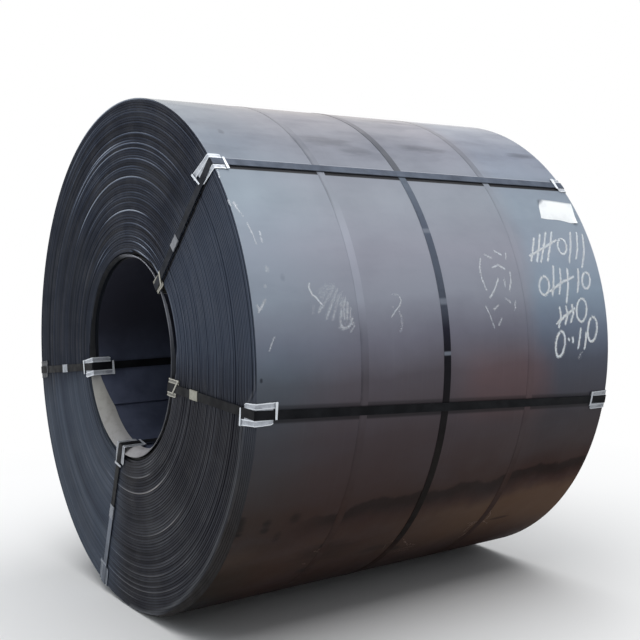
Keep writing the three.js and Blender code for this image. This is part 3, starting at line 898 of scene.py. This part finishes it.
def protector_parts(rng, tab, face=90, body=90, trim=(15, 13), edge=38, wide=10, skew=0, flare=0,
                    slant=0, flick=0):
    """One protector as closed shells in its own frame (off the face, off the barrel or eye, clockwise),
    and how far each point is on a raised edge. Face and body are the legs' lengths. The tab at the end
    of the body leg springs from one side and the face leg's from the other, where the side bar is cut
    short by the trim. Edge is how far out the bars reach and wide how wide the tabs are. The face leg
    leans by the skew and widens by the flare, and its tab slants. Flick bends the other tab's tip."""
    trim_face, trim_body = trim
    parts, raised = [], []

    def place(where, across, height):
        off_face, off_body = folded(where, height)
        return off_face, off_body, across + skew * max(0.0, -where - 2)

    def keep(rows, marks, flip, thickness=PLATE_THICKNESS):
        grid = np.array(rows)
        parts.append(shell(grid[:, ::-1] if flip else grid, -thickness))
        raised.extend(marks * 2 * len(rows))

    # The two side bars, each a strip with a raised bead along both edges.
    for side in (-1, 1):
        face_end = face - (trim_face if side == tab else 0.0)
        body_end = body - (0.0 if side == tab else trim_body)
        stations = leg_stations(face_end, body_end, 9)
        sways = rng.uniform(-0.5, 0.5, len(stations))
        ups = rng.uniform(0.0, 0.5, len(stations))
        rows = []
        for where, sway, up in zip(stations, sways, ups):
            spread = flare * smooth_step(-(where + 12) / (face - 12)) if side != tab else 0.0
            rounding = 3.5 * (smooth_step((where - body_end + 6) / 6)
                              + smooth_step((-where - face_end + 6) / 6))
            outer = edge + sway + spread - rounding
            across = [WINDOW_EDGE, 18.8, 20.4, 22.5, outer - 5.2, outer - 2.8, outer - 1.2, outer]
            heights = [0.0, 1.0, 1.0, 0.1, 0.1, 1.0, 1.0, 0.0]
            rows.append([place(where, side * a, PLATE_LIFT + up + h) for a, h in zip(across, heights)])
        keep(rows, [1, 1, 0.9, 0, 0, 0.9, 1, 1], side < 0)

    # The web between them, under the strap.
    stations = leg_stations(face - trim_face - 2, body - trim_body - 2, 5)
    web = [[place(where, a, PLATE_LIFT) for a in (-WINDOW_EDGE - 1, 0, WINDOW_EDGE + 1)]
           for where in stations]
    keep(web, [0, 0, 0], False, PLATE_THICKNESS * 0.9)

    # The two tabs, folded up and back over the strap.
    for side, sign, leg, outer, slope, bend in ((tab, 1, body, edge, 0.0, flick),
                                                (-tab, -1, face, edge + flare, slant, 0.0)):
        path = [(outer - 2.2, 1.6), (outer, 2.4), (outer, 3.4), (outer - 2.0, 4.1), (outer - 6.0, 4.1),
                (16, 4.0), (0, 3.9), (-14, 4.0), (-20.5, 4.1)]
        rows = []
        for share in np.linspace(0, 1, 4):
            row = []
            for across, height in path:
                run = outer - across
                where = leg - wide * (1 - share) * (1 - 0.25 * run / 60)
                where = where - slope * run + bend * max(0.0, (run - 50) / 10) * 6
                row.append(place(sign * where, side * across, height))
            rows.append(row)
        keep(rows, [1] * len(path), side * sign < 0)
    return *joined(parts), np.array(raised)


def build_protectors():
    zincs = {name: galvanised_material(name, *colours) for name, colours in ZINCS.items()}
    rng = np.random.default_rng(7)
    for edge, end, strap in itertools.product(("rim", "eye"), (-1, 1), EYE_STRAPS):
        end_name = "near" if end < 0 else "far"
        rim_near, rim_far, inner = EYE_STRAPS[strap]
        angle = inner if edge == "eye" else (rim_near if end < 0 else rim_far)
        place = f"{edge}_{strap}"
        shape = SHAPES.get(f"{place}_{end_name}", {})
        points, faces, raised = protector_parts(rng, **{"tab": end, **shape})
        turn = math.radians(angle)
        out = np.array([math.sin(turn), 0, math.cos(turn)])
        clockwise = np.array([math.cos(turn), 0, -math.sin(turn)])
        endwards = np.array([0, end, 0])
        off = out if edge == "rim" else -out
        corner_radius = (RADIUS / MM + RIM_STANDOFF) if edge == "rim" else EYE_PLATE_RADIUS + PLATE_LIFT
        corner = out * corner_radius + endwards * HALF_WIDTH / MM
        placed = corner + points[:, :1] * endwards + points[:, 1:2] * off + points[:, 2:] * clockwise
        placed *= MM
        placed[:, 2] += CENTRE_Z
        if np.dot(np.cross(endwards, off), clockwise) < 0:
            faces = [face[::-1] for face in faces]
        zinc = ODD_ZINCS.get(f"{place}_{end_name}") or ODD_ZINCS.get(place, "zinc")
        name = f"{edge}_protector_{strap}_{end_name}"
        made = add_mesh(name + "_plate", placed, faces, [zincs[zinc]], smooth_angle=40,
                        layers={"raised": raised})
        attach(made, "root")
        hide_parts(name)


# Dark, light, and perhaps the painted highlight colour of a run and how far out it begins.
STRAP_LOOKS = {
    "1": ((20, 23, 30), (34, 38, 47), (88, 96, 110)), "2": ((13, 14, 17), (26, 27, 30)),
    "3": ((13, 14, 17), (26, 27, 30), (120, 126, 137), 0.69), "4": ((13, 14, 17), (26, 27, 30)),
}
# Dark, light, and perhaps no raised edge, the roughness and the metallic.
SEAL_LOOKS = {
    "1": ((92, 94, 100), (118, 120, 126)), "2": ((134, 132, 120), (160, 158, 146), None, 0.5, 0.2),
    "3": ((96, 100, 108), (130, 135, 144)), "4": ((120, 126, 134), (158, 164, 172)),
}


def dress_cad_nodes():
    """Looks for the eye straps and their seals, which are shown as the frame has them."""
    for strap in EYE_STRAPS:
        looks = {"eye_strap_": strap_material("blued_strap_" + strap, *STRAP_LOOKS[strap]),
                 "eye_strap_seal_": galvanised_material("seal_" + strap, *SEAL_LOOKS[strap])}
        for kind, look in looks.items():
            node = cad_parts[kind + strap]
            node.data.materials.clear()
            node.data.materials.append(look)


# ---- marks on the barrel ----
# Each is a stroke of (millimetres from the near end, angle), its width in millimetres and its cover.
SCRIBBLE = (
    ([(234, 72.3), (229, 73.1), (235, 74.1), (238, 74.6), (249, 74.9), (261, 75.9), (272, 76.5)],
     4.2, 1.7),
    ([(300, 74.5), (345, 76.4), (366, 78.0)], 42, 0.03),
    ([(303, 72.6), (274, 73.7), (264, 74.4)], 11, 0.1),
    ([(323, 72.7), (296, 73.9), (271, 75.6)], 11, 0.1),
    ([(333, 72.9), (313, 74.5), (282, 76.4)], 9, 0.14), ([(282, 76.4), (254, 78.1)], 7, 0.34),
    ([(343, 73.6), (321, 75.7), (298, 77.7), (281, 79.6)], 8, 0.2), ([(310, 76.8), (291, 78.8)], 6, 0.2),
    ([(352, 74.5), (333, 76.4), (309, 79.7)], 8, 0.2), ([(359, 75.0), (347, 77.6), (339, 79.8)], 8, 0.2),
    ([(372, 75.4), (361, 77.0), (356, 79.8)], 6, 0.34),
    ([(378, 76.2), (376, 76.9), (368, 79.7)], 6, 0.36),
    ([(388, 77.4), (380, 79.8)], 6, 0.32), ([(348, 77.8), (344, 79.4)], 6, 0.3),
    ([(362, 77.6), (362, 80.4)], 22, 0.09),
    ([(340, 79.9), (342, 81.0), (354, 81.4), (370, 81.1), (383, 80.5), (390, 79.5)], 8, 0.5),
    ([(394, 80.3), (394, 81.2), (377, 82.1)], 6, 0.26), ([(330, 81.1), (348, 81.7)], 6, 0.26),
    ([(237, 76.8), (231, 78.4)], 8, 0.1), ([(271, 76.2), (259, 77.6)], 6, 0.2),
    ([(606, 75.4), (611, 76.4), (600, 77.4), (577, 78.5), (558, 79.7)], 3.4, 0.75),
    ([(595, 78.2), (603, 79.8), (604, 81.1), (593, 82.8)], 6, 0.22),
    ([(572, 74.9), (604, 75.2)], 5, 0.12), ([(566, 77.4), (576, 77.8)], 4, 0.14),
)
SLASHES = (
    ([(1034, 67.4), (1018, 69.6), (1016, 72.2), (1030, 74.8)], 5, 0.6),
    ([(1040, 76.4), (1072, 74.6), (1104, 72.0)], 5, 0.7), ([(1052, 79.0), (1080, 78.0)], 5, 0.5),
    ([(1012, 78.2), (1030, 80.2), (1046, 83.0)], 4, 0.5), ([(1068, 82.6), (1088, 81.0)], 5, 0.45),
    ([(1060, 66.4), (1092, 67.4)], 6, 0.4), ([(1118, 65.6), (1150, 66.6)], 5, 0.7),
    ([(1176, 66.0), (1168, 67.6)], 4, 0.5), ([(1082, 69.6), (1116, 69.0), (1150, 70.0)], 5, 0.75),
    ([(1172, 70.6), (1166, 72.8), (1150, 74.8)], 5, 0.6), ([(1132, 72.2), (1130, 74.0)], 6, 0.35),
    ([(1120, 76.6), (1146, 77.6)], 5, 0.4), ([(1170, 77.4), (1164, 79.2)], 6, 0.3),
    ([(1528, 89.6), (1506, 91.1)], 8, 0.2),
)
TALLIES = (
    [(1360, 62.3), (1303, 68.2)], [(1401, 61.4), (1335, 68.3)], [(1440, 60.8), (1357, 68.4)],
    [(1476, 60.6), (1397, 68.1)], [(1302, 66.9), (1387, 65.0), (1486, 62.8)],
    [(1587, 60.7), (1558, 64.4), (1521, 68.5)], [(1625, 60.8), (1596, 64.9), (1567, 67.7)],
    [(1656, 61.3), (1632, 65.5), (1589, 69.8)], [(1420, 69.4), (1404, 72.8), (1381, 76.3)],
    [(1455, 70.0), (1444, 72.9), (1421, 76.1)], [(1498, 70.1), (1480, 74.2), (1455, 78.1)],
    [(1370, 75.4), (1445, 73.4), (1525, 72.0)], [(1562, 70.1), (1548, 73.0), (1529, 75.8)],
    [(1411, 79.1), (1414, 81.3), (1395, 83.7)], [(1449, 78.9), (1453, 80.9), (1434, 83.1)],
    [(1484, 78.7), (1487, 80.7), (1468, 82.6)], [(1385, 82.9), (1439, 81.1), (1499, 79.5)],
    [(1446, 86.5), (1453, 86.8)], [(1473, 86.2), (1474, 87.3)],
    [(1523, 84.2), (1514, 86.4), (1503, 88.8)], [(1553, 85.3), (1550, 87.0), (1541, 89.0)],
)
# Hand-drawn loops: middle, angle, half width in mm, half height in degrees.
LOOPS = ((1508, 64.4, 26, 2.0), (1344, 74.0, 28, 2.2), (1594, 73.0, 24, 2.0), (1538, 80.0, 30, 2.7),
         (1400, 87.5, 26, 2.9), (1592, 84.6, 28, 2.9))
SCRATCHES = (
    ([(3, 54.6), (5, 56.0)], 4, 0.6), ([(21, 55.1), (25, 56.4)], 6, 1.0),
    ([(25, 56.4), (40, 58.4)], 3, 0.5), ([(47, 59.8), (56, 62.2)], 3.4, 0.9),
    ([(56, 62.2), (61, 64.3)], 3.4, 0.5),
    ([(86, 61.5), (84, 63.9)], 3.6, 0.5), ([(80, 69.0), (80, 69.8)], 9, 0.6),
    ([(62, 72.4), (61, 73.0)], 7, 0.4), ([(57, 75.2), (40, 76.5), (23, 77.7)], 5, 0.8),
    ([(23, 76.1), (27, 77.4)], 4, 0.6), ([(75, 82.2), (52, 84.9)], 4, 0.5),
    ([(12, 46.5), (4, 49.0)], 3, 0.5),
)
SCUFFS = (
    ([(1229, 118.2), (1246, 122.3), (1232, 124.9)], 6, 0.2), ([(1225, 127.0), (1250, 131.0)], 6, 0.24),
    ([(1250, 130.5), (1270, 132.8), (1262, 135.2)], 5, 0.6), ([(1261, 135.2), (1301, 136.7)], 5, 0.5),
    ([(1262, 135.2), (1196, 134.4), (1183, 135.7)], 6, 0.8),
    ([(1215, 134.7), (1193, 136.0), (1192, 138.7)], 5, 0.75),
    ([(1243, 138.3), (1216, 139.6), (1201, 142.0)], 6, 0.45), ([(1163, 134.4), (1196, 135.0)], 5, 0.5),
    ([(833, 135.2), (868, 137.4), (900, 139.4)], 5, 0.7), ([(905, 139.0), (948, 140.2)], 6, 0.6),
    ([(866, 141.0), (896, 140.7), (944, 141.0)], 6, 0.5),
    ([(859, 141.8), (893, 142.0), (937, 142.4)], 6, 0.45),
    ([(763, 138.7), (760, 136.3), (787, 135.1)], 5, 0.35), ([(395, 132.5), (422, 133.1)], 6, 0.55),
    ([(412, 132.3), (428, 130.8), (440, 129.8)], 5, 0.4), ([(376, 136.9), (404, 137.5)], 6, 0.4),
)
DRAWN_FROM, DRAWN_TILT = 0.3, 0.00037   # degrees: the marks are drawn lower toward the far end
LOOP_LEAN = 9             # millimetres
TALLY_WIDTHS = ((68, 6.8), (78, 7.6), (180, 8.4))   # up to an angle: wider where the light is weaker
TALLY_COVER = 4.0
MARK_LIFT = 0.35          # millimetres off the barrel
SMOOTHING = 7             # millimetres of a stroke that each of its points is the mean of
LABEL_CORNERS = ((1486, 52.1), (1678, 53.0), (1650, 59.0), (1450, 57.7))   # clockwise from top near
LABEL_ROWS, LABEL_COLUMNS = 13, 25


def grains(rng, stroke, width, cover, size):
    """A stroke as small flat grains scattered along it."""
    flat = np.array([(place, math.radians(angle) * RADIUS / MM) for place, angle in stroke])
    lengths = np.concatenate([[0], np.cumsum(np.linalg.norm(np.diff(flat, axis=0), axis=1))])
    where = np.linspace(0, lengths[-1], max(2, int(lengths[-1]) + 1))   # a point each millimetre
    path = np.stack([np.interp(where, lengths, flat[:, k]) for k in (0, 1)], axis=1)
    if len(path) > SMOOTHING + 1:
        padded = np.pad(path, ((SMOOTHING // 2,), (0,)), mode="edge")
        mean = np.ones(SMOOTHING) / SMOOTHING
        path = np.stack([np.convolve(padded[:, k], mean, "valid") for k in (0, 1)], axis=1)
    count = int(len(path) * width * cover / (size * size))
    picks = rng.integers(0, len(path), count)
    points, faces = [], []
    for x, y in path[picks] + rng.normal(0, width / 3.2, (count, 2)):
        half = size * rng.uniform(0.35, 0.85)
        turn = rng.uniform(0, math.pi)
        for corner in range(4):
            a = turn + corner * math.pi / 2
            place, round_ = x + half * math.cos(a), y + half * math.sin(a)
            angle = math.degrees(round_ * MM / RADIUS) + DRAWN_FROM + DRAWN_TILT * place
            points.append(tuple(on_barrel(place, angle, MARK_LIFT)))
        faces.append(tuple(range(len(points) - 4, len(points))))
    return points, faces


def oval(place, angle, half_width, half_height):
    """The stroke of a hand-drawn loop."""
    turns = np.radians(np.linspace(-100, 245, 15))
    return [(place + half_width * math.cos(t) - LOOP_LEAN * math.sin(t),
             angle + half_height * math.sin(t)) for t in turns]


def build_marks():
    rng = np.random.default_rng(19)
    chalk = chalk_material()
    rubbed = rubbed_steel_material("rubbed_scale", (176, 180, 188), (214, 218, 224))
    scuffed = rubbed_steel_material("scuffed_scale", (104, 86, 78), (132, 112, 102))
    tallies = []
    for stroke in TALLIES + tuple(oval(*loop) for loop in LOOPS):
        width = next(wide for below, wide in TALLY_WIDTHS if stroke[0][1] < below)
        tallies.append((stroke, width, TALLY_COVER))
    # Name, strokes, a grain's size in mm, how much wider and denser than drawn, look, slot.
    groups = (("chalk_scribble", SCRIBBLE, 0.75, 1.4, 0.9, chalk, "chalk"),
              ("chalk_slashes", SLASHES, 1.4, 1.45, 1.15, chalk, "chalk"),
              ("chalk_tallies", tallies, 2.0, 1.0, 1.0, chalk, "chalk"),
              ("handling_scratches", SCRATCHES, 1.3, 1.5, 1.5, rubbed, "mill_scale"),
              ("handling_scuffs", SCUFFS, 2.2, 1.3, 0.9, scuffed, "mill_scale"))
    for name, strokes, size, spread, load, look, slot in groups:
        made = [grains(rng, stroke, width * spread, cover * load, size)
                for stroke, width, cover in strokes]
        points, faces = joined([part for part in made if part[0]])
        marks = add_mesh(name, points, faces, [look])
        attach(marks, "root")


def build_label():
    """A blank paper label that curls off the barrel at two corners, one of them torn."""
    rng = np.random.default_rng(3)
    a, b, c, d = (np.array(corner, dtype=float) for corner in LABEL_CORNERS)
    grid = np.zeros((LABEL_ROWS, LABEL_COLUMNS, 3))
    torn = np.zeros((LABEL_ROWS, LABEL_COLUMNS))
    for i in range(LABEL_ROWS):
        for j in range(LABEL_COLUMNS):
            v, u = i / (LABEL_ROWS - 1), j / (LABEL_COLUMNS - 1)
            place, angle = (a * (1 - u) + b * u) * (1 - v) + (d * (1 - u) + c * u) * v
            place += 2.5 * math.sin(7 * v + 1) * (1 - u) * (1 - v)
            angle += 0.12 * math.sin(9 * u) * v - 0.1 * math.sin(5 * u)
            near_corner = max(0.0, 1 - math.hypot(u * 3.2, v * 2.2))
            far_corner = max(0.0, 1 - math.hypot((1 - u) * 5, (1 - v) * 2.6))
            lift = MARK_LIFT + 3.0 * near_corner ** 1.5 + 7.0 * far_corner ** 1.3 + 0.25 * rng.random()
            grid[i, j] = on_barrel(place, angle, lift)
            torn[i, j] = max(min(1.0, 1.9 - 9 * u - 5 * v), 0.75 - 8 * v - 0.3 * u, 0.0)
    points, faces = shell(grid[::-1], 0.25 * MM)
    label = add_mesh("paper_label", points, faces, [paper_material()], smooth_angle=60,
                     layers={"torn": np.tile(torn[::-1].reshape(-1), 2)})
    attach(label, "root")


# ---- floor, lights and camera ----
FLOOR_SIZE = 120
FLOOR_GREY = 0.82
FLOOR_FADE = (1.3, 3.6)   # metres from the middle: where the floor starts and ends turning white
WORLD_COLOUR, WORLD_LEVEL = (0.92, 0.96, 1.0, 1), 0.35
# Area lamps: name, place, target, side, power, colour.
LAMPS = (("overhead", (0.5, 0, 8), (0, 0, 1), 11, 900, (1, 1, 1)),
         ("left_front", (-5, -6, 3.5), (0, -0.8, 1), 4, 90, (0.9, 0.95, 1.0)))
CAMERA_PLACE = (3.9421, -2.5327, 1.4291)
CAMERA_YAW = 52.565       # degrees left of +Y
CAMERA_PITCH = 0.782      # degrees below the horizon
CAMERA_ROLL = -0.204
CAMERA_LENS, CAMERA_SENSOR = 58.984, 36   # millimetres
CAMERA_SHIFT = (-0.115, -0.0906)


def backdrop_rays(tree):
    """1 for the rays that see the white backdrop: the camera's, and those of gloss and glass."""
    rays = add_node(tree, "LightPath").outputs
    seen = rays["Is Camera Ray"]
    for kind in ("Is Glossy Ray", "Is Transmission Ray"):
        seen = add_node(tree, "Math", {0: seen, 1: rays[kind]}, operation="MAXIMUM").outputs[0]
    return seen


def end_with(tree, output, share, shader, other):
    """Ends a tree in a mix of two shaders."""
    blend = add_node(tree, "MixShader", {0: share, 1: shader.outputs[0], 2: other.outputs[0]})
    tree.links.new(blend.outputs[0], tree.nodes[output].inputs["Surface"])


def build_stage():
    """A pale floor that fades to white, and a white backdrop behind a dimmer sky."""
    s = Shader("studio_floor", roughness=0.9)
    s.set("Base Color", grey(FLOOR_GREY))
    away = s.field("VectorMath", {0: s.place}, "Value", operation="LENGTH")
    fade = s.field("MapRange", {"Value": away, "From Min": FLOOR_FADE[0], "From Max": FLOOR_FADE[1]})
    white = add_node(s.tree, "Emission")
    end_with(s.tree, "Material Output", fade * backdrop_rays(s.tree), s.surface, white)
    half = FLOOR_SIZE / 2
    corners = [(-half, -half, 0), (half, -half, 0), (half, half, 0), (-half, half, 0)]
    floor = add_mesh("studio_floor", corners, [(0, 1, 2, 3)], [s.material])

    world = bpy.data.worlds.new("studio")
    bpy.context.scene.world = world
    world.use_nodes = True
    tree = world.node_tree
    sky = tree.nodes["Background"]
    feed(tree, sky.inputs["Color"], WORLD_COLOUR)
    feed(tree, sky.inputs["Strength"], WORLD_LEVEL)
    backdrop = add_node(tree, "Background", {"Color": grey(1.0)})
    end_with(tree, "World Output", backdrop_rays(tree), sky, backdrop)


def build_lights():
    for name, place, target, side, power, colour in LAMPS:
        data = bpy.data.lights.new(name, "AREA")
        data.shape = "RECTANGLE"
        data.size = data.size_y = side
        data.energy = power
        data.color = colour
        lamp = bpy.data.objects.new(name, data)
        lamp.location = place
        lamp.rotation_euler = (Vector(target) - Vector(place)).to_track_quat("-Z", "Y").to_euler()
        bpy.context.scene.collection.objects.link(lamp)


def build_camera():
    data = bpy.data.cameras.new("camera")
    data.lens = CAMERA_LENS
    data.sensor_width = CAMERA_SENSOR
    data.shift_x, data.shift_y = CAMERA_SHIFT
    camera = bpy.data.objects.new("camera", data)
    pose = Matrix.Translation(CAMERA_PLACE)
    for degrees, axis in ((CAMERA_YAW, "Z"), (90 - CAMERA_PITCH, "X"), (CAMERA_ROLL, "Z")):
        pose = pose @ Matrix.Rotation(math.radians(degrees), 4, axis)
    camera.matrix_world = pose
    bpy.context.scene.collection.objects.link(camera)
    bpy.context.scene.camera = camera


build_coil()
build_body_straps()
build_eye_rings()
build_protectors()
dress_cad_nodes()
build_marks()
build_label()
build_stage()
build_lights()
build_camera()
bpy.context.scene.view_settings.view_transform = "Standard"
